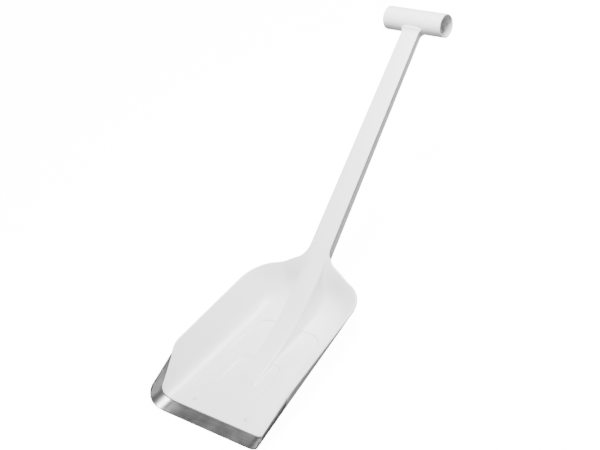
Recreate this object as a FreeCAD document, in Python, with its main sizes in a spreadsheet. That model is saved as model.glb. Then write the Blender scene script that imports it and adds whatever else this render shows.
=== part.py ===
"""A small scoop shovel: moulded pan, hollow shaft and tube T-grip, with a riveted metal wear edge.

Frame: X across the shovel, Y from the cutting edge back towards the grip, Z up, millimetres.
The shovel lies on the flat underside of its pan, at Z = 0, with the shaft rising behind it.
Everything is modelled with Y = 0 at the lip of the moulded pan, and every finished piece is
then moved along Y, so that the origin is at the middle of the bottom of the overall box.
"""
import FreeCAD, Part
import math
import os
import Sketcher

DOC = FreeCAD.newDocument("camp_shovel")

SIZES = {
    # pan
    "wall": 4.0,               # thickness of the moulded pan
    "pan_depth": 45.0,         # floor to rim
    "lip_half_width": 75.0,    # half width of the flat floor at the lip
    "floor_taper": 6.0,        # each side of the floor closes in by this angle towards the back
    "rim_taper": 3.0,          # and each side of the rim by this one
    "floor_length": 202.5,     # lip to where the floor starts to curve up the back wall
    "side_radius": 24.0,       # floor to side wall
    "side_lean": 24.0,         # side wall, from upright
    "flare_start": 30.0,       # height at which the side wall flares out
    "flare_lean": 26.5,        # flared part, from upright
    "back_radius": 52.0,       # floor to back wall
    "back_lean": 28.0,         # back wall, from upright
    "floor_corner": 28.0,      # shoulder radius in plan, at the floor
    "rim_corner": 47.0,        # shoulder radius in plan, at the rim
    "web_half_width": 46.0,    # where the rim starts to rise to the neck
    "web_radius": 52.0,        # the sweep of that rise
    "web_top": 82.0,           # height that the web would reach at the middle of the shovel
    # front cut of the pan
    "cut_back": 62.0,          # lip to where the rim starts to slope down
    "cut_slope": 28.5,         # slope of the cut side walls
    "cut_radius": 16.0,        # side wall cut to lip
    # stepped floor
    "outer_step_back": 183.0,
    "outer_step_half": 55.0,
    "outer_step_front": 65.0,
    "outer_step_depth": 1.6,
    "outer_step_fade": 70.0,
    "outer_step_corner": 13.0,
    "inner_step_back": 110.0,
    "inner_step_half": 37.0,
    "inner_step_front": 42.0,
    "inner_step_depth": 2.2,
    "inner_step_fade": 42.0,
    "inner_step_corner": 7.0,
    # spine and shaft
    "shaft_angle": 29.2,       # slope of the shaft's front face
    "root_inset": 154.9,       # lip to where that face would meet the pan floor
    "face_length": 527.8,      # from there up the face to below the grip's axis
    "face_offset": 9.1,        # the face stands this far in front of the grip's axis
    "spine_radius": 307.0,
    "spine_rise": 1.6,         # height of the spine's nose above the floor
    "spine_wall": 3.5,
    "neck_width": 35.0,
    "neck_depth": 21.0,
    "top_width": 28.0,
    "top_depth": 15.5,
    "shaft_wall": 3.0,
    "shaft_corner": 5.0,
    # grip
    "grip_length": 104.0,
    "grip_diameter": 36.0,
    "grip_wall": 2.0,
    # wear edge and rivets
    "edge_thickness": 1.5,
    "edge_reach": 20.5,        # how far it stands in front of the lip
    "edge_tuck": 48.0,         # how far it runs back under the pan
    "edge_tip_height": 36.5,   # height of its tips above the pan floor
    "edge_slope": 13.6,
    "edge_radius": 26.0,
    "rivet_spacing": 97.0,
    "rivet_inset": 17.0,
    "rivet_diameter": 4.2,
    "rivet_head": 9.0,
    "rivet_head_height": 1.3,
    "rivet_sink": 7.6,         # across the flush head in the wear edge
}


def make_sheet():
    """Put the driving dimensions in a spreadsheet, one named cell each."""
    sheet = DOC.addObject("Spreadsheet::Sheet", "sizes")
    for row, (name, value) in enumerate(SIZES.items(), start=1):
        sheet.set("A%d" % row, name)
        sheet.set("B%d" % row, str(value))
        sheet.setAlias("B%d" % row, name)
    DOC.recompute()
    return sheet


SHEET = make_sheet()


def size(name):
    """A driving dimension, read back from the sheet."""
    return float(getattr(SHEET, name))


def cell(text):
    """An expression in which every @name stands for a cell of the sheet."""
    return text.replace("@", "sizes.")


def evaluate(text):
    """The present value of an expression on the sheet."""
    return float(SHEET.evalExpression(text.replace("@", "")))


# Places that several pieces share, as expressions on the sheet.
RIM_Z = "(@wall + @pan_depth)"
GRIP_Y = ("(@root_inset + @face_length * cos(@shaft_angle)"
          " + @face_offset * sin(@shaft_angle))")
GRIP_Z = ("(@wall + @face_length * sin(@shaft_angle)"
          " - @face_offset * cos(@shaft_angle))")
SHIFT_Y = "((@edge_reach - %s - @grip_diameter / 2) / 2)" % GRIP_Y
MARGIN = 10.0                  # how far a cutting tool runs past what it cuts
TALL = 100.0                   # reach of the tools that clear everything above a line
SHAFT_ROOT = 90.0              # the shaft's tube starts here along its face, inside the pan
ARC_STEPS = 4                  # outlines of the pan between the floor and the top of its fillet


def bind(thing, expressions):
    """Bind properties of a thing to expressions on the sheet."""
    for name, text in expressions.items():
        thing.setExpression(name, cell(text))
    return thing


def add(kind, name, expressions=None):
    """A document object whose properties are bound to the sheet."""
    return bind(DOC.addObject(kind, name), expressions or {})


def tilt(thing, angle):
    """Turn a thing about its own X axis by an angle from the sheet."""
    thing.Placement.Rotation = FreeCAD.Rotation(FreeCAD.Vector(1, 0, 0), 1)
    thing.setExpression("Placement.Rotation.Angle", cell(angle))
    return thing


def outline_sketch(body, plane, corners):
    """A closed polygon whose corners are pairs of expressions, each bound to the sheet."""
    sketch = body.newObject("Sketcher::SketchObject", body.Name + "_outline")
    base = [item for item in body.Origin.OriginFeatures if item.Role == plane][0]
    sketch.AttachmentSupport = [(base, "")]
    sketch.MapMode = "FlatFace"
    points = [FreeCAD.Vector(evaluate(across), evaluate(up), 0) for across, up in corners]
    for start, end in zip(points, points[1:] + points[:1]):
        sketch.addGeometry(Part.LineSegment(start, end))
    for index in range(len(points)):
        after = (index + 1) % len(points)
        sketch.addConstraint(Sketcher.Constraint("Coincident", index, 2, after, 1))
    for index, (across, up) in enumerate(corners):
        for kind, text in (("DistanceX", across), ("DistanceY", up)):
            made = sketch.addConstraint(
                Sketcher.Constraint(kind, -1, 1, index, 1, evaluate(text)))
            sketch.setExpression("Constraints[%d]" % made, cell(text))
    return sketch


def round_corner(body, sketch, corner, radius):
    """Round the padded edge that stands on one corner of a body's outline."""
    spot = sketch.Placement.multVec(sketch.Geometry[corner].StartPoint)
    upright = sketch.Placement.Rotation.multVec(FreeCAD.Vector(0, 0, 1))
    base = body.Tip
    for number, edge in enumerate(base.Shape.Edges, start=1):
        along = edge.tangentAt(edge.FirstParameter)
        if along.cross(upright).Length > 1e-6:
            continue
        if spot.distanceToLine(edge.Vertexes[0].Point, along) < 1e-4:
            fillet = body.newObject("PartDesign::Fillet", "%s_round_%d" % (body.Name, corner))
            fillet.Base = (base, ["Edge%d" % number])
            fillet.setExpression("Radius", cell(radius))
            body.Tip = fillet
            DOC.recompute()
            return
    raise ValueError("no edge stands on corner %d of %s" % (corner, body.Name))


def polygon_pad(name, plane, corners, length, rounds=(), both_ways=True):
    """A body padded from a polygon; each of rounds is a corner's number and its radius."""
    body = DOC.addObject("PartDesign::Body", name)
    sketch = outline_sketch(body, plane, corners)
    pad = body.newObject("PartDesign::Pad", name + "_pad")
    pad.Profile = sketch
    pad.Midplane = both_ways
    pad.setExpression("Length", cell(length))
    DOC.recompute()
    for corner, radius in rounds:
        round_corner(body, sketch, corner, radius)
    return body


def cut(name, base, tool):
    """base with tool taken away."""
    made = add("Part::Cut", name)
    made.Base = base
    made.Tool = tool
    return made


def several(kind, name, things):
    """A union (Part::MultiFuse) or an intersection (Part::MultiCommon) of things."""
    made = add(kind, name)
    made.Shapes = list(things)
    return made


# ---- pan: a tray with leaning walls, large floor fillets and round shoulders ----

def wall_run(height, offset, radius, lean):
    """How far a wall stands outside the flat floor, at a height above the inner floor.

    The wall rises in an arc of the given radius and then leans by lean degrees; offset
    moves the whole line outwards, square to itself.
    """
    turned = math.radians(90 - lean)
    large = radius + offset
    top = radius - large * math.cos(turned)
    if height < top:
        return math.sqrt(max(large ** 2 - (radius - height) ** 2, 0.0))
    return large * math.sin(turned) + (height - top) * math.tan(math.radians(lean))


def side_run(height, offset):
    """wall_run of the side wall, with its flare near the rim."""
    run = wall_run(height, offset, size("side_radius"), size("side_lean"))
    above = max(height - size("flare_start"), 0.0)
    flare = math.tan(math.radians(size("flare_lean")))
    return run + above * (flare - math.tan(math.radians(size("side_lean"))))


def pan_outline(height, offset):
    """The pan's plan outline at one height: straight front, tapered sides, round shoulders."""
    share = min(max(height, 0.0) / size("pan_depth"), 1.0)
    taper = math.radians(size("floor_taper") + share * (size("rim_taper") - size("floor_taper")))
    corner = size("floor_corner") + share * (size("rim_corner") - size("floor_corner"))
    corner += offset
    front = -size("edge_reach") - MARGIN
    back = size("floor_length") + wall_run(height, offset, size("back_radius"), size("back_lean"))
    reach = (size("lip_half_width") + side_run(height, offset)) / math.cos(taper)
    middle_y = back - corner
    middle_x = reach - middle_y * math.tan(taper) - corner / math.cos(taper)

    def on_corner(angle):
        return (middle_x + corner * math.cos(angle), middle_y + corner * math.sin(angle))

    def place(spot, side=1):
        return FreeCAD.Vector(side * spot[0], spot[1], height + size("wall"))

    lip = (reach - front * math.tan(taper), front)
    start, bend, end = [on_corner(angle) for angle in
                        (taper, (taper + math.pi / 2) / 2, math.pi / 2)]
    return Part.Wire([
        Part.LineSegment(place(lip, -1), place(lip)).toShape(),
        Part.LineSegment(place(lip), place(start)).toShape(),
        Part.Arc(place(start), place(bend), place(end)).toShape(),
        Part.LineSegment(place(end), place(end, -1)).toShape(),
        Part.Arc(place(end, -1), place(bend, -1), place(start, -1)).toShape(),
        Part.LineSegment(place(start, -1), place(lip, -1)).toShape(),
    ])


def pan_block(name, offset):
    """The filled tray whose faces lie offset outside the pan's inner faces."""
    turn = math.radians(90 - size("side_lean")) / ARC_STEPS
    heights = [size("side_radius") * (1 - math.cos(step * turn)) - offset
               for step in range(ARC_STEPS + 1)]
    heights += [0.45 * size("back_radius"), size("flare_start"), size("pan_depth")]
    heights += [size("web_top")]
    block = add("Part::Feature", name)
    block.Shape = Part.makeLoft([pan_outline(h, offset) for h in heights], True, True)
    return block


def front_cut():
    """Clears the pan in front of its lip and above its sloping side walls."""
    corner_z = RIM_Z + " - @cut_back * tan(@cut_slope)"
    corners = [("@cut_back", RIM_Z), ("0", corner_z), ("0", "-%g" % MARGIN),
               ("-%g" % TALL, "-%g" % MARGIN), ("-%g" % TALL, RIM_Z + " + %g" % TALL),
               ("@cut_back", RIM_Z + " + %g" % TALL)]
    return polygon_pad("front_cut", "YZ_Plane", corners, "4 * @lip_half_width",
                       [(1, "@cut_radius")])


def rim_cut():
    """Clears everything above the rim, and above the web that rises to the neck."""
    wide = "2 * @lip_half_width"
    corners = [("0", "@wall + @web_top"), ("@web_half_width", RIM_Z), (wide, RIM_Z),
               (wide, RIM_Z + " + %g" % TALL), ("-" + wide, RIM_Z + " + %g" % TALL),
               ("-" + wide, RIM_Z), ("-@web_half_width", RIM_Z)]
    return polygon_pad("rim_cut", "XZ_Plane", corners, "4 * @floor_length",
                       [(1, "@web_radius"), (6, "@web_radius")])


def floor_step(name, half_back, half_front, back, fade, depth, corner):
    """A panel sunk in the floor: depth deep at its back edge, level with the floor at fade."""
    length = "%s - %s" % (back, fade)
    corners = [(half_front, "0"), (half_back, length), ("-" + half_back, length),
               ("-" + half_front, "0")]
    panel = polygon_pad(name, "XY_Plane", corners, "@pan_depth",
                        [(1, corner), (2, corner)], both_ways=False)
    bind(panel, {"Placement.Base.y": fade, "Placement.Base.z": "@wall"})
    return tilt(panel, "-atan(%s / (%s))" % (depth, length))


# ---- spine: the shaft's front face carried down into the pan ----

def spine_block(name, inset, width, above=False):
    """What lies under the spine's top line (or above it), lowered by inset."""
    lift = "(@spine_rise - %s)" % inset
    low = "(@wall + %s)" % lift
    corner_y = "(@root_inset + %s / tan(@shaft_angle) + %s / sin(@shaft_angle))" % (lift, inset)
    far_y = "(@root_inset + @floor_length)"
    far_z = "(@wall + @floor_length * tan(@shaft_angle) - %s / cos(@shaft_angle))" % inset
    nose_y = "(%s - @spine_radius * tan(@shaft_angle / 2) - %s)" % (corner_y, "@spine_rise")
    level = RIM_Z + " + %g" % TALL if above else "@wall / 2"
    corners = [(far_y, far_z), (corner_y, low), (nose_y, low), (nose_y, level),
               (far_y, level)]
    radius = "@spine_radius - %s" % inset if above else "@spine_radius"
    return polygon_pad(name, "YZ_Plane", corners, width, [(1, radius)])


# ---- shaft: a tapered tube square to its own face ----

def shaft_wedge(name, inset):
    """The shaft's tapered block, with every face inset, from inside the pan to the grip."""
    half_neck = "(@neck_width / 2 - %s)" % inset
    half_top = "(@top_width / 2 - %s)" % inset
    wedge = add("Part::Wedge", name, {
        "Ymin": "%g" % SHAFT_ROOT, "Ymax": "@face_length",
        "Xmin": "-" + half_neck, "Xmax": half_neck,
        "Zmin": "-(@neck_depth - %s)" % inset, "Zmax": "-" + inset,
        "X2min": "-" + half_top, "X2max": half_top,
        "Z2min": "-(@top_depth - %s)" % inset, "Z2max": "-" + inset,
        "Placement.Base.y": "@root_inset", "Placement.Base.z": "@wall"})
    return tilt(wedge, "@shaft_angle")


def rounded(name, base, radius):
    """The two long edges at the back of the shaft, rounded."""
    DOC.recompute()
    normal = base.Placement.Rotation.multVec(FreeCAD.Vector(0, 0, 1))
    lengthwise = [(base.Placement.inverse().multVec(edge.CenterOfMass).z, number)
                  for number, edge in enumerate(base.Shape.Edges, start=1)
                  if abs(edge.tangentAt(edge.FirstParameter).dot(normal)) < 0.5
                  and edge.Length > size("face_length") / 2]
    made = add("Part::Fillet", name)
    made.Base = base
    made.Edges = [(number, radius, radius) for _, number in sorted(lengthwise)[:2]]
    return made


# ---- grip, wear edge and rivets ----

def cross_tube(name, radius):
    """A cylinder across the shovel on the grip's axis."""
    tube = add("Part::Cylinder", name, {
        "Radius": radius, "Height": "@grip_length", "Placement.Base.x": "-@grip_length / 2",
        "Placement.Base.y": GRIP_Y, "Placement.Base.z": GRIP_Z})
    tube.Placement.Rotation = FreeCAD.Rotation(FreeCAD.Vector(0, 1, 0), 90)
    return tube


def edge_outline():
    """The wear edge seen from the side: tips at the rim, falling to a square front."""
    tip_z = "@wall + @edge_tip_height"
    front_z = tip_z + " - (@edge_tuck + @edge_reach) * tan(@edge_slope)"
    corners = [("@edge_tuck", tip_z), ("-@edge_reach", front_z),
               ("-@edge_reach", "-%g" % MARGIN), ("@edge_tuck", "-%g" % MARGIN)]
    return polygon_pad("edge_outline", "YZ_Plane", corners, "4 * @lip_half_width",
                       [(1, "@edge_radius")])


def rivet():
    """One rivet: flush head in the wear edge, shank, and a low head on the pan floor."""
    place = {"Placement.Base.x": "@rivet_spacing / 2", "Placement.Base.y": "@rivet_inset"}
    sink = add("Part::Cone", "rivet_sink", dict(place, **{
        "Radius1": "@rivet_sink / 2", "Radius2": "@rivet_diameter / 2",
        "Height": "@edge_thickness"}))
    shank = add("Part::Cylinder", "rivet_shank", dict(place, **{
        "Radius": "@rivet_diameter / 2", "Height": "@wall - @edge_thickness",
        "Placement.Base.z": "@edge_thickness"}))
    head = add("Part::Cone", "rivet_head", dict(place, **{
        "Radius1": "@rivet_head / 2", "Radius2": "@rivet_head / 3",
        "Height": "@rivet_head_height", "Placement.Base.z": "@wall"}))
    return several("Part::MultiFuse", "right_rivet", [sink, shank, head])


def mirrored(name, source):
    """A copy on the other side of the shovel."""
    made = add("Part::Mirroring", name)
    made.Source = source
    made.Normal = (1, 0, 0)
    return made


def piece(label, things):
    """A finished sub-part, moved so that the origin is under the middle of the shovel."""
    made = add("Part::Compound", label + "_piece", {"Placement.Base.y": SHIFT_Y})
    made.Links = list(things)
    made.Label = label
    return made


def build():
    """Make every sub-part and return the finished ones."""
    envelope = pan_block("pan_envelope", size("wall"))
    core = pan_block("pan_core", size("wall") - size("edge_thickness"))
    cavity = pan_block("pan_cavity", 0.0)

    right_rivet = rivet()
    rivets = add("Part::Compound", "rivet_pair")
    rivets.Links = [right_rivet, mirrored("left_rivet", right_rivet)]

    band = cut("edge_band", envelope, core)
    sheet_edge = several("Part::MultiCommon", "edge_sheet", [band, edge_outline()])
    wear_edge = cut("edge_drilled", sheet_edge, rivets)

    bore = rounded("shaft_bore", shaft_wedge("bore_block", "@shaft_wall"),
                   size("shaft_corner") - size("shaft_wall"))
    tube = rounded("shaft_body", shaft_wedge("shaft_block", "0"), size("shaft_corner"))
    grip_body = cross_tube("grip_body", "@grip_diameter / 2")
    grip_bore = cross_tube("grip_bore", "@grip_diameter / 2 - @grip_wall")
    grip = cut("grip_tube", grip_body, grip_bore)
    shaft = cut("shaft_at_pan", tube, envelope)
    shaft = cut("shaft_at_grip", shaft, grip_body)
    shaft = cut("shaft_hollow", shaft, bore)

    pan = cut("pan_shell", envelope, cavity)
    tools = [rim_cut(), front_cut(),
             spine_block("above_spine", "0", "@neck_width", above=True),
             floor_step("outer_step", "@outer_step_half", "@outer_step_front",
                        "@outer_step_back", "@outer_step_fade", "@outer_step_depth",
                        "@outer_step_corner"),
             floor_step("inner_step", "@inner_step_half", "@inner_step_front",
                        "@inner_step_back", "@inner_step_fade", "@inner_step_depth",
                        "@inner_step_corner")]
    for tool in tools:
        pan = cut("pan_after_" + tool.Name, pan, tool)
    spine = several("Part::MultiCommon", "spine",
                    [envelope, spine_block("spine_block", "0", "@neck_width")])
    hollow = several("Part::MultiCommon", "spine_hollow", [
        cavity, spine_block("spine_core", "@spine_wall", "@neck_width - 2 * @spine_wall")])
    blade = several("Part::MultiFuse", "pan_with_spine", [pan, spine])
    for tool in (hollow, bore, sheet_edge, rivets):
        blade = cut("blade_after_" + tool.Name, blade, tool)

    return [piece("blade", [blade]), piece("shaft", [shaft]), piece("grip", [grip]),
            piece("wear_edge", [wear_edge]), piece("rivets", [rivets])]


def check(thing):
    """Stop if an object failed to build or holds no valid shape."""
    if any(word in thing.State for word in ("Invalid", "Error")):
        raise RuntimeError("%s failed: %s" % (thing.Label, thing.State))
    shape = getattr(thing, "Shape", None)
    if shape is not None and shape.isNull():
        raise RuntimeError("%s is empty" % thing.Label)


pieces = build()
DOC.recompute()
for thing in DOC.Objects:
    check(thing)
os.makedirs("parts", exist_ok=True)
for thing in pieces:
    if not thing.Shape.isValid() or not thing.Shape.Solids:
        raise RuntimeError("%s is not a valid solid" % thing.Label)
    box = thing.Shape.optimalBoundingBox(False)
    print("%-10s %d solid(s) %9.1f mm3  x %.1f..%.1f  y %.1f..%.1f  z %.1f..%.1f" % (
        thing.Label, len(thing.Shape.Solids), thing.Shape.Volume,
        box.XMin, box.XMax, box.YMin, box.YMax, box.ZMin, box.ZMax))
    thing.Shape.exportStep("parts/%s.step" % thing.Label)
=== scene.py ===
import bmesh
import bpy
import math
import numpy as np
from mathutils import Matrix, Vector


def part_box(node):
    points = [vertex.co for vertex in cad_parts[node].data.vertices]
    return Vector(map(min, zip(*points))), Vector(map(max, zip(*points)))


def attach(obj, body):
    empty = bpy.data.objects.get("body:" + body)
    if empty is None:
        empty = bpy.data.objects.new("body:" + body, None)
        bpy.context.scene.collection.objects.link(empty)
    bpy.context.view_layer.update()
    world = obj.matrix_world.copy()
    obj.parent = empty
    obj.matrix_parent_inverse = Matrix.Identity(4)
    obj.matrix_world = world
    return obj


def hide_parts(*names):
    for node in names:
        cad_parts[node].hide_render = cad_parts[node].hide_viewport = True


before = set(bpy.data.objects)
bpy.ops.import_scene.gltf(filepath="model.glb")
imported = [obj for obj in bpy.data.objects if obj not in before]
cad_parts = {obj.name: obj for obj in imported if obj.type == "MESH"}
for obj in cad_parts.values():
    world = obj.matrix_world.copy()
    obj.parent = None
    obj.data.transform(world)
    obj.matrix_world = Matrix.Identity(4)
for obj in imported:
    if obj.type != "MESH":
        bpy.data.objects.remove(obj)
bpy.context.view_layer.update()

# The shaping below works in millimetres, in the pan's own frame: x across, d back from the
# lip of the moulding, h up from the pan floor. place() turns that into the shovel's frame.
MM = 0.001
LIP_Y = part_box("blade")[0].y
WALL = 4.0


# ---- sizes of the pan ----

LIP_HALF = 75.0                                # half width of the flat floor at the lip
FLOOR_TAPER, RIM_TAPER = math.radians(6.0), math.radians(3.0)
FLOOR_LENGTH = 202.5
RIM = 45.0                                     # floor to rim
SIDE_RADIUS, SIDE_LEAN = 24.0, 24.0
FLARE_START, FLARE_LEAN = 30.0, 26.5
BACK_RADIUS, BACK_LEAN = 52.0, 28.0
BACK_FLARE_START, BACK_FLARE_LEAN = 45.0, 40.0
FLARE_ROUND = 6.0                              # how softly both flares begin
FLOOR_CORNER, RIM_CORNER = 28.0, 47.0          # shoulder radius in plan, low and high
RIM_EASE = 0.9                                 # the rim's inner edge lies this far below RIM

CUT_BACK, CUT_SLOPE, CUT_RADIUS = 62.0, 28.5, 16.0
CUT_LOW, CUT_ARC_END, CUT_ROUND = 1.8, 8.37, 5.0
CUT_EASE = 0.5                                 # as RIM_EASE, near the lip

FLOOR_PANELS = (  # half width at the back, at the front, back edge, front edge, depth, corner
    (59.0, 68.0, 186.0, 70.0, 2.2, 24.0),
    (35.0, 42.0, 115.0, 42.0, 2.8, 10.0),
)
PANEL_EDGE = 0.8                               # width of the step round a panel

# ---- sizes of the spine, shaft and grip ----

SHAFT_SLOPE = math.tan(math.radians(29.2))
SHAFT_COS, SHAFT_SIN = math.cos(math.radians(29.2)), math.sin(math.radians(29.2))
FACE_ROOT = 154.9                              # where the shaft's face would meet the floor
NOSE, NOSE_FRONT, NOSE_TOP, NOSE_DIP, NOSE_LEAD = 77.8, 48.0, 1.6, 8.0, 6.0
SPINE_RADIUS, SPINE_START, SPINE_FILLET = 307.0, 60.0, 4.6
FACE_CROWN, NECK_CROWN, NECK_CROWN_AT, NECK_CROWN_SPREAD = 1.0, 3.4, 252.0, 34.0
WEB_START, WEB_LEVEL, OVERHEAD = 226.0, 258.0, 90.0
BLEND_START, BLEND_END = 250.0, 284.0          # the spine's fillets fade into the neck here
NECK, NECK_HALF, NOSE_HALF, TOP_HALF = 290.1, 17.45, 16.2, 14.3
NECK_DEPTH, TOP_DEPTH, DEPTH_START, SHAFT_END = 20.4, 15.5, 233.5, 616.0
SHAFT_ROUND, WEB_ROUND = 6.0, 5.0
GRIP_D, GRIP_H, GRIP_OUTER, GRIP_INNER, GRIP_HALF = 620.07, 249.55, 18.0, 16.0, 52.0
GRIP_SEAT = GRIP_OUTER - 1.0                   # the shaft ends in the grip's wall, this far from its axis
SWELL, SWELL_REACH = 3.2, 10.0                 # how the shaft thickens just below the grip

# ---- sizes of the wear edge and rivets ----

EDGE_FRONT, EDGE_BACK, EDGE_TIP, EDGE_SLOPE, EDGE_RADIUS = -20.5, 48.0, 36.5, 13.6, 26.0
EDGE_ARC_LOW, EDGE_ARC_END = -0.5, -0.6
EDGE_UNDER, EDGE_THICK, EDGE_EASE, EDGE_NOSE = 2.5, 1.5, 0.35, 0.6
RECESS_PLAY = 0.06                             # room between the wear edge and its recess
RIVET_X, RIVET_D = 48.5, 17.0


# ---- small helpers ----

def soft(value, width):
    """value where it is positive and 0 where it is negative, with a rounded corner."""
    return 0.5 * (value + np.sqrt(value * value + width * width))


def ease(value, low, high):
    """0 below low, 1 above high, and smooth between."""
    share = np.clip((value - low) / (high - low), 0.0, 1.0)
    return share * share * (3.0 - 2.0 * share)


def merge(first, second, width):
    """The smaller of two distances, with a fillet of about that width where they meet."""
    near = np.maximum(width - np.abs(first - second), 0.0) / width
    return np.minimum(first, second) - near * near * width / 4.0


def trim(first, second, width):
    """The larger of two distances, with a rounding of about that width where they meet."""
    return -merge(-first, -second, width)


def corner_gap(across, along, radius):
    """Distance outside a corner whose two sides are across and along away, rounded."""
    across, along = across + radius, along + radius
    return (np.hypot(np.maximum(across, 0.0), np.maximum(along, 0.0))
            + np.minimum(np.maximum(across, along), 0.0) - radius)


def solve(above, shape, low=-6.0, high=110.0):
    """The height at which above(h) turns positive."""
    under, over = np.full(shape, low), np.full(shape, high)
    for _ in range(32):
        middle = 0.5 * (under + over)
        hit = above(middle) > 0.0
        over = np.where(hit, middle, over)
        under = np.where(hit, under, middle)
    return 0.5 * (under + over)


def line_lengths(line):
    """The run along a line of points, from its start to each point."""
    steps = np.linalg.norm(np.diff(line, axis=0), axis=1)
    return np.concatenate([[0.0], np.cumsum(steps)])


def spread(line, count):
    """count + 1 points evenly along a line of many points."""
    run = line_lengths(line)
    wanted = np.linspace(0.0, run[-1], count + 1)
    return np.stack([np.interp(wanted, run, line[:, axis]) for axis in range(3)], axis=1)


def direction(angle):
    """A unit direction in plan."""
    return np.array([math.cos(angle), math.sin(angle)])


# ---- the pan's faces ----

def wall_run(h, offset, radius, lean):
    """How far a wall stands outside the floor at a height, on a line offset square to it."""
    turned = math.radians(90.0 - lean)
    large = radius + offset
    top = radius - large * math.cos(turned)
    arc = np.sqrt(np.maximum(large ** 2 - (radius - h) ** 2, 0.0))
    straight = large * math.sin(turned) + (h - top) * math.tan(math.radians(lean))
    return np.where(h < top, arc, straight)


def flare(h, start, lean, lower_lean):
    """How much further out a wall stands once it leans out more, above start."""
    turn = math.tan(math.radians(lean)) - math.tan(math.radians(lower_lean))
    return turn * soft(h - start, FLARE_ROUND)


def outline_gap(x, d, h, offset):
    """How far a point lies outside the tray's outline at its own height."""
    share = np.clip(h / RIM, 0.0, 1.0)
    taper = FLOOR_TAPER + share * (RIM_TAPER - FLOOR_TAPER)
    side = (x * np.cos(taper) + d * np.sin(taper) - LIP_HALF
            - wall_run(h, offset, SIDE_RADIUS, SIDE_LEAN)
            - flare(h, FLARE_START, FLARE_LEAN, SIDE_LEAN))
    back = (d - FLOOR_LENGTH - wall_run(h, offset, BACK_RADIUS, BACK_LEAN)
            - flare(h, BACK_FLARE_START, BACK_FLARE_LEAN, BACK_LEAN))
    return corner_gap(side, back, FLOOR_CORNER + share * (RIM_CORNER - FLOOR_CORNER) + offset)


def wall_gap(x, d, h, offset):
    """outline_gap turned into a distance square to the wall."""
    step, flattest = 0.3, 0.3
    h = np.maximum(h, 0.02 - offset)
    gap = outline_gap(x, d, h, offset)
    slope = (gap - outline_gap(x, d, h + step, offset)) / step
    return gap * np.maximum(1.0 / np.sqrt(1.0 + slope * slope), flattest)


def floor_height(x, d):
    """The pan floor, with its two sunk panels: deepest at the back, level at the front."""
    deep = np.zeros(np.broadcast(x, d).shape)
    for half_back, half_front, back, front, depth, corner in FLOOR_PANELS:
        along = (d - front) / (back - front)
        half = half_front + (half_back - half_front) * along
        inside = -corner_gap(np.abs(x) - half, d - back, corner)
        step = ease(inside, -0.5 * PANEL_EDGE, 0.5 * PANEL_EDGE)
        deep = np.maximum(deep, depth * np.clip(along, 0.0, 1.0) * step)
    return -deep


def face_drop(d):
    """How far the edges of the spine's crowned face lie below its middle."""
    return FACE_CROWN + NECK_CROWN * np.exp(-((d - NECK_CROWN_AT) / NECK_CROWN_SPREAD) ** 2)


def face_height(d):
    """The middle of the spine's and shaft's front face."""
    arc = NOSE_TOP + SPINE_RADIUS - np.sqrt(
        np.maximum(SPINE_RADIUS ** 2 - np.maximum(d - NOSE, 0.0) ** 2, 1.0))
    line = (d - FACE_ROOT) * SHAFT_SLOPE
    back = NOSE + NOSE_LEAD
    dip = NOSE_DIP * ease(back - d, 0.0, back - NOSE_FRONT)
    return np.where(d < NOSE + SPINE_RADIUS * SHAFT_SIN, arc, line) - dip


def web_height(d):
    """The flat web beside the neck, level with the spine's edges; far overhead elsewhere."""
    lift = OVERHEAD * (1.0 - ease(d, WEB_START, WEB_LEVEL))
    return face_height(d) - face_drop(d) + lift


def half_width(d):
    """Half the width of the spine and shaft, across the front edges."""
    widened = ease(d, SPINE_START, NECK + SPINE_START)
    at_neck = ease(np.array(NECK), SPINE_START, NECK + SPINE_START)
    spine = NOSE_HALF + (NECK_HALF - NOSE_HALF) * widened / at_neck
    shaft = NECK_HALF + (TOP_HALF - NECK_HALF) * (d - NECK) / (SHAFT_END - NECK)
    return np.where(d < NECK, spine, shaft)


def bar_depth(d):
    """The shaft's depth, measured upright."""
    share = (d - DEPTH_START) / (SHAFT_END - DEPTH_START)
    return (NECK_DEPTH + (TOP_DEPTH - NECK_DEPTH) * share) / SHAFT_COS


def inner_height(x, d):
    """The face that is seen from above: tray, web and spine, with their fillets."""
    half, top = half_width(d), face_height(d)
    crown = top - face_drop(d) * (np.minimum(np.abs(x), half) / half) ** 2
    near_neck = ease(d, BLEND_START, BLEND_END)
    fillet = SPINE_FILLET * (1.0 - near_neck) + 0.3
    edge_round = 1.6 - 1.2 * near_neck
    draft = 0.12                               # the spine's sides lean, and widen downwards
    square = 0.993                             # cosine of that lean

    def above(h):
        tray = np.minimum(h - floor_height(x, d), -wall_gap(x, d, h, 0.0))
        tray = trim(tray, (h - web_height(d)) * SHAFT_COS, WEB_ROUND)
        side = (np.abs(x) - half - np.maximum(top - h, 0.0) * draft) * square
        bar = trim((h - crown) * SHAFT_COS, side, edge_round)
        return merge(tray, bar, fillet)

    return solve(above, np.broadcast(x, d).shape)


def under_offset(d):
    """Thickness of the moulding: less where the wear edge lies in its recess."""
    thin = EDGE_UNDER - RECESS_PLAY
    return thin + (WALL - thin) * ease(d, EDGE_BACK + 0.1, EDGE_BACK + 0.5)


def outer_height(x, d, fillet):
    """The face that is seen from below: tray, web and shaft."""
    half, top = half_width(d), face_height(d)
    offset = under_offset(d)
    lowest, draft = 3.0, 0.03
    below = np.maximum(top - bar_depth(d), lowest)

    def above(h):
        side = np.abs(x) - half + np.maximum(top - face_drop(d) - h, 0.0) * draft
        bar = trim((below - h) * SHAFT_COS, side, SHAFT_ROUND)
        tray = np.maximum(wall_gap(x, d, h, offset), -(h + offset))
        sheet = (web_height(d) - WALL / SHAFT_COS - h) * SHAFT_COS
        return -merge(merge(tray, sheet, WEB_ROUND), bar, fillet)

    return solve(above, np.broadcast(x, d).shape)


# ---- one row of the moulding: inner face, lip, outer face ----

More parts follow.
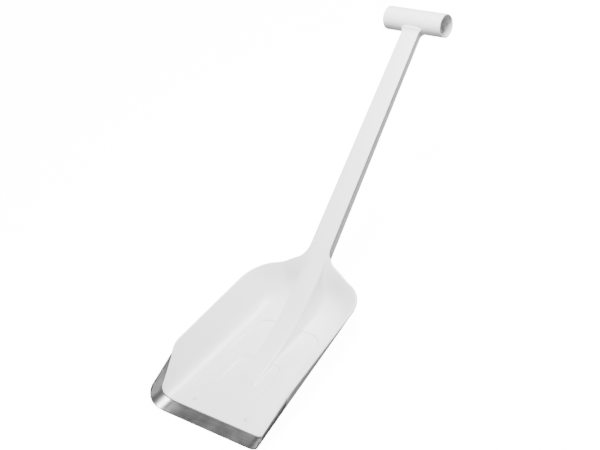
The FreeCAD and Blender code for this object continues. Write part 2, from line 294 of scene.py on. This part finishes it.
FACE_COLS, SIDE_COLS, PAN_COLS, LIP_COLS = 10, 12, 60, 10
FACE_FINE, SIDE_FINE, PAN_FINE = 90, 260, 420       # points that a stretch is first worked out at
BELLY_FINE, FLANK_FINE = 60, 500
HAIR = 1e-3                                    # keeps a stretch from having no length


def surface(height, x, start, end):
    """Points on a face, above the plan line from the middle (0, start) to end = (x, d)."""
    d = start + (end[1] - start) * x / end[0]
    return np.stack([x, d, height(x, d)], axis=1)


def lip_curve(inner, outer, along, reach, cols=LIP_COLS):
    """A half round from the inner face's end to the outer's, bulging along the wall."""
    turn = np.linspace(0.0, math.pi, cols + 1)[:, None]
    middle = 0.5 * (inner + outer)
    return middle + (inner - middle) * np.cos(turn) + along * reach * np.sin(turn)


def corner_curve(inner, outer, radius):
    """A small round over the top edge, then straight down to the outer point."""
    down_cols = 4
    turn = np.linspace(0.0, math.pi / 2, LIP_COLS - down_cols + 1)
    arc = np.stack([inner[0] + radius * np.sin(turn), np.full(turn.shape, inner[1]),
                    inner[2] - radius * (1.0 - np.cos(turn))], axis=1)
    down = np.linspace(arc[-1], outer, down_cols + 1)[1:]
    return np.concatenate([arc, down])


def wall_end(end, way):
    """At the rim: the inner point, the outer point, the way along the wall, its thickness."""
    probe = 1.2
    rise = [float(inner_height(np.array(end[0] - way[0] * back), np.array(end[1] - way[1] * back)))
            for back in (probe, 0.0)]
    slope = (rise[1] - rise[0]) / probe
    square = 1.0 / math.sqrt(1.0 + slope * slope)
    thick = float(under_offset(np.array(end[1])))
    inner = np.array([end[0], end[1], rise[1]])
    along = np.array([way[0] * square, way[1] * square, slope * square])
    outwards = np.array([way[0] * slope * square, way[1] * slope * square, -square])
    return inner, inner + thick * outwards, along, thick


def row(start, end, way):
    """One row: start is its d at the middle, end its plan point at the rim, and way the
    rim's outward direction in plan."""
    end = np.array(end, float)
    half = float(half_width(np.array(start + (end[1] - start) * NECK_HALF / max(end[0], 1.0))))
    web_width = max(end[0] - half, 0.0)
    lip_share = float(ease(web_width, 0.0, 7.0))
    round_edge = 0.8 * (1.0 - lip_share)
    fillet = float(np.clip(0.7 * web_width, 0.3, 4.0))
    inner_end, outer_end, along, thick = wall_end(end, way)

    top = face_height(np.array(start)) - face_drop(np.array(start))
    foot_h = inner_height(np.array(half + 4.0), np.array(start))
    foot = half + max(float(top - foot_h), 0.0) * 0.125 + 1.8
    foot = min(foot, half + 0.35 * web_width + HAIR)
    face = surface(inner_height, np.linspace(0.0, half - round_edge, FACE_FINE), start, end)
    side = surface(inner_height, np.linspace(half - round_edge, foot, SIDE_FINE), start, end)
    pan = surface(inner_height, np.linspace(foot, end[0], PAN_FINE), start, end)
    pan[-1] = inner_end

    def outer(x, d):
        return outer_height(x, d, fillet)

    under_end = outer_end[:2]
    cheek = max(half - 6.5, 1.0)
    edge = min(half + 0.03, under_end[0] - HAIR)
    belly = surface(outer, np.linspace(0.0, cheek, BELLY_FINE), start, under_end)
    flank = surface(outer, np.linspace(cheek, edge, FLANK_FINE), start, under_end)
    back = surface(outer, np.linspace(edge, under_end[0], PAN_FINE), start, under_end)
    near_end = ease(np.linspace(0.0, 1.0, len(back)), 0.86, 1.0)[:, None]
    back += (outer_end - back[-1]) * near_end

    lip = lip_curve(inner_end, outer_end, along, 0.45 * thick)
    if lip_share < 1.0:
        lip = lip_share * lip + (1.0 - lip_share) * corner_curve(inner_end, outer_end, round_edge)
    return np.concatenate([
        spread(face, FACE_COLS)[:-1], spread(side, SIDE_COLS)[:-1], spread(pan, PAN_COLS)[:-1],
        lip,
        spread(back, PAN_COLS)[::-1][1:], spread(flank, SIDE_COLS)[::-1][1:],
        spread(belly, FACE_COLS)[::-1][1:]])


def pinch(loop, share):
    """Draw the inner and outer faces of a row together, towards the middle of the wall."""
    middle = 0.5 * (loop + loop[::-1])
    return middle + (loop - middle) * share


# ---- the rows of the pan, from its lip to the neck ----

ROW_STEP, FINE_STEP, LAST_GAP = 1.9, 0.55, 0.9
LIP_NOSE, LIP_TURNS = 1.1, 6
FAN_START = 150.0                              # behind this the rows fan round to the neck
SIDE_POINTS = 200
SHOULDER_RADIUS, HOLLOW_RADIUS, BACK_TURN = 52.0, 23.0, math.radians(69.5)


def cut_height(d):
    """The sloping front edge of the side walls, seen from the side."""
    line = RIM - (CUT_BACK - d) * math.tan(math.radians(CUT_SLOPE))
    arc = CUT_LOW + math.sqrt(max(CUT_RADIUS ** 2 - (CUT_RADIUS - d) ** 2, 0.0))
    return arc if d < CUT_ARC_END else float(merge(line, RIM, CUT_ROUND))


def across_at(h, d, offset=0.0):
    """How far out the tray's wall is, at a height near its front."""
    low, high = LIP_HALF - 6.0, 125.0
    for _ in range(40):
        middle = 0.5 * (low + high)
        if float(outline_gap(np.array(middle), np.array(d), np.array(h), offset)) < 0.0:
            low = middle
        else:
            high = middle
    return 0.5 * (low + high)


def rim_line():
    """The rim from the end of the front cut to the neck: plan points and outward directions.

    It runs straight back, round the shoulder, straight towards the neck, and then through a
    hollow round into the side of the shaft.
    """
    side_way, back_way = direction(RIM_TAPER), direction(BACK_TURN)
    side_at = np.array([across_at(RIM - RIM_EASE, CUT_BACK), CUT_BACK]) @ side_way
    hollow = np.array([NECK_HALF + HOLLOW_RADIUS, NECK])
    back_at = hollow @ back_way - HOLLOW_RADIUS
    shoulder = np.linalg.solve(np.array([side_way, back_way]),
                               [side_at - SHOULDER_RADIUS, back_at - SHOULDER_RADIUS])
    start = np.array([(side_at - CUT_BACK * side_way[1]) / side_way[0], CUT_BACK])
    points, ways = [start], [side_way]

    def straight(last, way, count):
        first = points[-1]
        for share in np.linspace(0.0, 1.0, count)[1:]:
            points.append(first + (last - first) * share)
            ways.append(way)

    def arc(centre, radius, first, last, count):
        for angle in np.linspace(first, last, count)[1:]:
            points.append(centre + radius * direction(angle))
            ways.append(direction(angle))

    straight(shoulder + SHOULDER_RADIUS * side_way, side_way, SIDE_POINTS)
    arc(shoulder, SHOULDER_RADIUS, RIM_TAPER, BACK_TURN, 120)
    straight(hollow - HOLLOW_RADIUS * back_way, back_way, 60)
    arc(hollow, -HOLLOW_RADIUS, BACK_TURN, 0.0, 80)
    return np.array(points), np.array(ways)


def cut_row(d, below):
    """A row that ends on the front cut, below its top line by a little."""
    return row(d, (across_at(cut_height(d) - below, d), d), (1.0, 0.0))


def front_rows():
    """Rows over the rounded lip and along the sloping front cut."""
    rows = []
    for turn in np.linspace(0.0, math.pi / 2, LIP_TURNS):
        rows.append(pinch(cut_row(LIP_NOSE * (1.0 - math.cos(turn)), CUT_EASE), math.sin(turn)))
    rows += [cut_row(d, CUT_EASE) for d in (1.8, 2.7, 3.8, 5.2, 6.8, 8.4)]
    places = list(np.arange(10.2, EDGE_BACK - 1.5, ROW_STEP))
    places += [EDGE_BACK - 0.8, EDGE_BACK, EDGE_BACK + 0.4, EDGE_BACK + 1.4]
    places += list(np.arange(51.0, CUT_BACK - 0.6, ROW_STEP))
    return rows + [cut_row(d, RIM_EASE) for d in places]


def middle_at(here, run, points, fan):
    """Where the row that meets the rim at this run crosses the middle of the pan."""
    if here <= fan:
        return float(np.interp(here, run, points[:, 1]))
    length, total = run[-1] - fan, NECK - FAN_START
    share = (here - fan) / length
    cubic = (share ** 3 - 2 * share ** 2 + share) + (share ** 3 - share ** 2)
    return FAN_START + total * (length / total * cubic + 3 * share ** 2 - 2 * share ** 3)


def rim_places(run, points, fan):
    """Where rows meet the rim: closer together at the back edges of the floor panels."""
    places, here = [], 0.0
    while here < run[-1] - LAST_GAP:
        places.append(here)
        d = float(np.interp(here, run, points[:, 1]))
        by_inner_panel = 107.0 < d < 116.5
        by_outer_panel = d > FAN_START and 173.0 < middle_at(here, run, points, fan) < 187.5
        here += FINE_STEP if by_inner_panel or by_outer_panel else ROW_STEP
    return places + [run[-1]]


def rim_rows():
    """Rows from the back of the front cut to the neck."""
    points, ways = rim_line()
    run = line_lengths(points)
    fan = float(np.interp(FAN_START, points[:SIDE_POINTS, 1], run[:SIDE_POINTS]))
    rows = []
    for here in rim_places(run, points, fan):
        x, d = (float(np.interp(here, run, points[:, axis])) for axis in (0, 1))
        way = [float(np.interp(here, run, ways[:, axis])) for axis in (0, 1)]
        if d < CUT_BACK + 12.0:
            x = across_at(cut_height(d) - RIM_EASE, d)
        rows.append(row(middle_at(here, run, points, fan), (x, d), way))
    return rows


# ---- shaft ----

SEARCH_FROM = 560.0                            # the grip's wall is looked for from here on
LONG_ROWS, NEAR_ROWS, NEAR_SHARE = 44, 16, 0.955


def off_grip(spot):
    """How far points are from the grip's own axis."""
    return np.hypot(spot[:, 1] - GRIP_D, spot[:, 2] - GRIP_H)


def shaft_rows(neck):
    """Rows from the neck up to the grip, drawn on from the last row of the pan."""
    half, top, deep = (float(f(np.array(NECK))) for f in (half_width, face_height, bar_depth))
    across = neck[:, 0] / half
    down = (top - neck[:, 2]) / deep

    def at(d):
        return np.stack([across * half_width(d), d, face_height(d) - down * bar_depth(d)], axis=1)

    near, far = np.full(len(neck), SEARCH_FROM), np.full(len(neck), GRIP_D)
    for _ in range(30):
        middle = 0.5 * (near + far)
        inside = off_grip(at(middle)) < GRIP_SEAT
        far, near = np.where(inside, middle, far), np.where(inside, near, middle)

    out = np.stack([across, np.clip(1.0 - 2.0 * down, -1.0, 1.0)], axis=1) ** 5
    out /= np.maximum(np.linalg.norm(out, axis=1, keepdims=True), 1e-6)
    shares = np.concatenate([np.linspace(0.0, NEAR_SHARE, LONG_ROWS)[1:],
                             np.linspace(NEAR_SHARE, 1.0, NEAR_ROWS)[1:]])
    rows = []
    for share in shares:
        spot = at(NECK + share * (near - NECK))
        close = np.clip(1.0 - (off_grip(spot) - GRIP_OUTER) / SWELL_REACH, 0.0, 1.0)
        swell = SWELL * close ** 3
        spot[:, 0] += swell * out[:, 0]
        spot[:, 1] -= swell * out[:, 1] * SHAFT_SIN
        spot[:, 2] += swell * out[:, 1] * SHAFT_COS
        rows.append(spot)
    return rows


def shaft_cap(last):
    """Rows that close the shaft's end inside the grip's wall, following its curve."""
    angle = np.arctan2(last[:, 2] - GRIP_H, last[:, 1] - GRIP_D)
    angle = np.where(angle < 0.0, angle + 2 * math.pi, angle)
    middle = 0.5 * (angle.min() + angle.max())
    rows = []
    for share in (0.35, 0.7, 0.9):
        turned = angle + (middle - angle) * share
        rows.append(np.stack([last[:, 0], GRIP_D + GRIP_SEAT * np.cos(turned),
                              GRIP_H + GRIP_SEAT * np.sin(turned)], axis=1))
    return rows + [pinch(rows[-1], 0.0)]


# ---- wear edge ----

EDGE_COLS, EDGE_LIP_COLS, EDGE_FINE = 84, 6, 500


def edge_height(d):
    """The top edge of the wear edge, seen from the side."""
    line = EDGE_TIP - (EDGE_BACK - d) * math.tan(math.radians(EDGE_SLOPE))
    rise = EDGE_RADIUS ** 2 - (EDGE_FRONT + EDGE_RADIUS - d) ** 2
    arc = EDGE_ARC_LOW + math.sqrt(max(rise, 0.0))
    return arc if d < EDGE_ARC_END else line


def sheet_row(d):
    """One row of the wear edge: upper face, rounded top edge, lower face."""
    faces = []
    for offset in (EDGE_UNDER, EDGE_UNDER + EDGE_THICK):
        x = np.linspace(0.0, across_at(edge_height(d) - EDGE_EASE, d, offset), EDGE_FINE)
        h = solve(lambda h: np.minimum(h + offset, -wall_gap(x, d, h, offset)), x.shape)
        faces.append(spread(np.stack([x, np.full(x.shape, d), h], axis=1), EDGE_COLS))
    inner, outer = faces
    along = inner[-1] - inner[-2]
    along = along / np.linalg.norm(along)
    lip = lip_curve(inner[-1], outer[-1], along, 0.5, EDGE_LIP_COLS)[1:-1]
    return np.concatenate([inner, lip, outer[::-1]])


def wear_edge_rows():
    """Rows from the cutting edge to the strip's back edge, both of them rounded."""
    turns = np.linspace(0.0, math.pi / 2, 5)
    rows = [pinch(sheet_row(EDGE_FRONT + EDGE_NOSE * (1.0 - math.cos(turn))), math.sin(turn))
            for turn in turns]
    rows += [sheet_row(d) for d in np.arange(-19.2, -14.0, 0.8)]
    rows += [sheet_row(d) for d in np.arange(-14.0, 46.8, 1.5)]
    rows += [pinch(sheet_row(EDGE_BACK - EDGE_NOSE * (1.0 - math.cos(turn))), math.sin(turn))
             for turn in turns[::-1]]
    return rows


# ---- making the meshes ----

def place(spot):
    """From the pan's frame in millimetres to the shovel's frame in metres."""
    return Vector((spot[0] * MM, LIP_Y + spot[1] * MM, (spot[2] + WALL) * MM))


def finished_piece(name, form, material, slot, *nodes):
    """Make a smooth piece that rides on the shovel and stands for CAD nodes."""
    mesh = bpy.data.meshes.new(name)
    form.to_mesh(mesh)
    form.free()
    for face in mesh.polygons:
        face.use_smooth = True
    mesh.materials.append(material)
    piece = bpy.data.objects.new(name, mesh)
    bpy.context.scene.collection.objects.link(piece)
    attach(piece, "root")
    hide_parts(*nodes)


def skin(rows):
    """A closed skin: a grid laid over half of the rows, then mirrored to the other side.

    Both merge distances are far below the mesh's own spacing, so that they only join the
    points that lie in the same place, such as those of a pinched row.
    """
    rows = np.array(rows)
    lines, columns = rows.shape[0] - 1, rows.shape[1] - 1
    form = bmesh.new()
    bmesh.ops.create_grid(form, x_segments=columns, y_segments=lines, size=1.0)
    for vert in form.verts:
        column = round((vert.co.x + 1.0) * 0.5 * columns)
        line = round((vert.co.y + 1.0) * 0.5 * lines)
        vert.co = place(rows[line, column])
    bmesh.ops.remove_doubles(form, verts=form.verts, dist=1e-7)
    bmesh.ops.mirror(form, geom=form.verts[:] + form.edges[:] + form.faces[:],
                     matrix=Matrix.Identity(4), merge_dist=1e-6, axis="X")
    bmesh.ops.recalc_face_normals(form, faces=form.faces)
    return form


def moulding_form():
    """The pan and the shaft in one closed skin."""
    pan = front_rows() + rim_rows()
    shaft = shaft_rows(pan[-1])
    return skin(pan + shaft + shaft_cap(shaft[-1]))


def grip_form():
    """The open tube of the grip, spun about its own axis and with its ends rounded."""
    form = bmesh.new()
    stops = [-GRIP_HALF, -50.0, -40.0, -20.0, -8.0, 8.0, 20.0, 40.0, 50.0, GRIP_HALF]
    ring = ([(x, GRIP_OUTER) for x in stops] + [(x, GRIP_INNER) for x in reversed(stops)])
    verts = [form.verts.new(place((x, GRIP_D, GRIP_H + radius))) for x, radius in ring]
    edges = [form.edges.new((a, b)) for a, b in zip(verts, verts[1:] + verts[:1])]
    bmesh.ops.spin(form, geom=verts + edges, cent=place((0.0, GRIP_D, GRIP_H)), axis=(1, 0, 0),
                   angle=2 * math.pi, steps=112, use_merge=True)
    bmesh.ops.remove_doubles(form, verts=form.verts, dist=1e-6)
    longest = 1.2 * MM                         # longer than a rim's edges, under the wall's width
    rims = [edge for edge in form.edges
            if all(abs(abs(vert.co.x) - GRIP_HALF * MM) < 1e-6 for vert in edge.verts)
            and (edge.verts[0].co - edge.verts[1].co).length < longest]
    bmesh.ops.bevel(form, geom=rims, offset=0.55 * MM, offset_type="OFFSET", segments=4,
                    profile=0.5, affect="EDGES", material=-1)
    bmesh.ops.recalc_face_normals(form, faces=form.faces)
    return form


def rivet_form(x, d):
    """A rivet: low domed head on the floor, shank, and a flush head below."""
    line = [(0.0, 1.3), (1.2, 1.27), (2.3, 1.15), (3.3, 0.9), (4.1, 0.5), (4.45, 0.15),
            (4.5, -0.05), (2.1, -0.1), (2.1, -2.5), (3.75, -3.93), (3.6, -3.98), (0.0, -3.98)]
    form = bmesh.new()
    verts = [form.verts.new(place((x + radius, d, h))) for radius, h in line]
    edges = [form.edges.new(pair) for pair in zip(verts, verts[1:])]
    bmesh.ops.spin(form, geom=verts + edges, cent=place((x, d, 0.0)), axis=(0, 0, 1),
                   angle=2 * math.pi, steps=40, use_merge=True)
    bmesh.ops.remove_doubles(form, verts=form.verts, dist=1e-6)
    bmesh.ops.recalc_face_normals(form, faces=form.faces)
    return form


# ---- materials ----

def fresh_material(name):
    """A new material, with its node tree, its shader and the place on the object."""
    made = bpy.data.materials.new(name)
    made.use_nodes = True
    tree = made.node_tree
    spot = tree.nodes.new("ShaderNodeTexCoord").outputs["Object"]
    return made, tree, tree.nodes["Principled BSDF"], spot


def noise(tree, spot, scale, detail=2.0, stretch=None):
    """Cloudy noise, drawn out along an axis where stretch is small for it."""
    if stretch:
        turned = tree.nodes.new("ShaderNodeMapping")
        turned.inputs["Scale"].default_value = stretch
        tree.links.new(spot, turned.inputs["Vector"])
        spot = turned.outputs["Vector"]
    made = tree.nodes.new("ShaderNodeTexNoise")
    made.inputs["Scale"].default_value = scale
    made.inputs["Detail"].default_value = detail
    tree.links.new(spot, made.inputs["Vector"])
    return made.outputs["Fac"]


def ramp(tree, value, *stops):
    """Colours for a value, given as (place, colour) pairs."""
    made = tree.nodes.new("ShaderNodeValToRGB")
    line = made.color_ramp.elements
    while len(line) < len(stops):
        line.new(0.5)
    for element, (position, colour) in zip(line, stops):
        element.position = position
        element.color = (*colour, 1.0)
    tree.links.new(value, made.inputs["Fac"])
    return made.outputs["Color"]


def spanned(tree, value, low, high):
    """Noise stretched to run from low to high, over the middle of its range."""
    made = tree.nodes.new("ShaderNodeMapRange")
    for name, number in (("From Min", 0.3), ("From Max", 0.7), ("To Min", low), ("To Max", high)):
        made.inputs[name].default_value = number
    tree.links.new(value, made.inputs["Value"])
    return made.outputs["Result"]


def bump(tree, height, strength, distance, under=None):
    """A bumped normal, on top of another one where under is given."""
    made = tree.nodes.new("ShaderNodeBump")
    made.inputs["Strength"].default_value = strength
    made.inputs["Distance"].default_value = distance
    tree.links.new(height, made.inputs["Height"])
    if under is not None:
        tree.links.new(under, made.inputs["Normal"])
    return made.outputs["Normal"]


def moulded_plastic():
    """Satin white plastic: faint clouding, uneven gloss, fine grain and slow flow waves."""
    made, tree, shader, spot = fresh_material("white_moulded_plastic")
    tone = ramp(tree, noise(tree, spot, 9.0, 3.0),
                (0.35, (0.94, 0.94, 0.935)), (0.65, (0.955, 0.955, 0.955)))
    tree.links.new(tone, shader.inputs["Base Color"])
    rough = spanned(tree, noise(tree, spot, 26.0, 4.0), 0.28, 0.38)
    tree.links.new(rough, shader.inputs["Roughness"])
    grain = bump(tree, noise(tree, spot, 1500.0), 0.10, 0.0002)
    flow = bump(tree, noise(tree, spot, 24.0), 0.12, 0.0012, grain)
    tree.links.new(flow, shader.inputs["Normal"])
    shader.inputs["IOR"].default_value = 1.49
    return made


def brushed_metal():
    """Rolled sheet metal, brushed across the shovel, with patches of duller surface."""
    made, tree, shader, spot = fresh_material("brushed_wear_edge")
    grain = noise(tree, spot, 900.0, 3.0, (0.02, 1.0, 1.0))
    tone = ramp(tree, grain, (0.3, (0.23, 0.23, 0.234)), (0.7, (0.30, 0.30, 0.304)))
    tree.links.new(tone, shader.inputs["Base Color"])
    rough = spanned(tree, noise(tree, spot, 60.0, 4.0), 0.27, 0.36)
    tree.links.new(rough, shader.inputs["Roughness"])
    tree.links.new(bump(tree, grain, 0.12, 0.0003), shader.inputs["Normal"])
    shader.inputs["Metallic"].default_value = 1.0
    return made


def rivet_enamel():
    """White enamel, slightly greyer than the plastic, with a more uneven gloss."""
    made, tree, shader, spot = fresh_material("rivet_enamel")
    tone = ramp(tree, noise(tree, spot, 300.0),
                (0.35, (0.78, 0.78, 0.775)), (0.65, (0.84, 0.84, 0.84)))
    tree.links.new(tone, shader.inputs["Base Color"])
    rough = spanned(tree, noise(tree, spot, 700.0), 0.25, 0.4)
    tree.links.new(rough, shader.inputs["Roughness"])
    return made


def pale_floor():
    """The studio floor, bright enough of itself to look white."""
    made, tree, shader, spot = fresh_material("pale_floor")
    tone = ramp(tree, noise(tree, spot, 3.0),
                (0.4, (0.93, 0.93, 0.93)), (0.6, (0.95, 0.95, 0.95)))
    tree.links.new(tone, shader.inputs["Base Color"])
    shader.inputs["Roughness"].default_value = 0.9
    shader.inputs["Emission Color"].default_value = (1.0, 1.0, 1.0, 1.0)
    shader.inputs["Emission Strength"].default_value = 14.0
    return made


# ---- floor, light and camera ----

def floor():
    """A wide floor that throws no light back on the shovel."""
    mesh = bpy.data.meshes.new("studio_floor")
    form = bmesh.new()
    bmesh.ops.create_grid(form, x_segments=1, y_segments=1, size=12.0)
    form.to_mesh(mesh)
    form.free()
    mesh.materials.append(pale_floor())
    made = bpy.data.objects.new("studio_floor", mesh)
    bpy.context.scene.collection.objects.link(made)
    made.visible_diffuse = False
    made.visible_glossy = False


def sky():
    """Even, weak white light from all round."""
    world = bpy.data.worlds.new("soft_studio")
    bpy.context.scene.world = world
    world.use_nodes = True
    back = world.node_tree.nodes["Background"]
    back.inputs["Color"].default_value = (1.0, 1.0, 1.0, 1.0)
    back.inputs["Strength"].default_value = 0.3


def lamp(name, spot, aim, width, power):
    """A round soft lamp, turned to its aim."""
    data = bpy.data.lights.new(name, "AREA")
    data.shape = "DISK"
    data.size = width
    data.energy = power
    made = bpy.data.objects.new(name, data)
    made.location = spot
    made.rotation_euler = (Vector(aim) - Vector(spot)).to_track_quat("-Z", "Y").to_euler()
    bpy.context.scene.collection.objects.link(made)


def camera():
    """A long lens, high in front and to the right of the shovel."""
    data = bpy.data.cameras.new("camera")
    data.lens = 74.1
    data.sensor_width = 36.0
    made = bpy.data.objects.new("camera", data)
    right, up, back = (Vector(v) for v in ((0.7724, 0.5825, -0.2533),
                                           (-0.2242, 0.6233, 0.7492),
                                           (0.5942, -0.5219, 0.6121)))
    turn = Matrix((right, up, back)).transposed().to_4x4()
    made.matrix_world = Matrix.Translation((1.0447, -0.9626, 1.2143)) @ turn
    bpy.context.scene.collection.objects.link(made)
    bpy.context.scene.camera = made


# ---- the shovel in its studio ----

plastic, enamel = moulded_plastic(), rivet_enamel()
finished_piece("pan_and_shaft", moulding_form(), plastic, "moulded_plastic", "blade", "shaft")
finished_piece("grip_tube", grip_form(), plastic, "moulded_plastic", "grip")
finished_piece("wear_edge_sheet", skin(wear_edge_rows()), brushed_metal(),
               "wear_edge_metal", "wear_edge")
for name, side in (("rivet_left", -1), ("rivet_right", 1)):
    finished_piece(name, rivet_form(side * RIVET_X, RIVET_D), enamel, "rivet_paint", "rivets")

floor()
sky()
lamp("overhead", (0.15, 0.15, 1.2), (0.1, 0.05, 0.1), 0.65, 52.0)
lamp("front", (-0.25, -1.3, 0.45), (0.0, -0.1, 0.1), 0.5, 7.0)
camera()
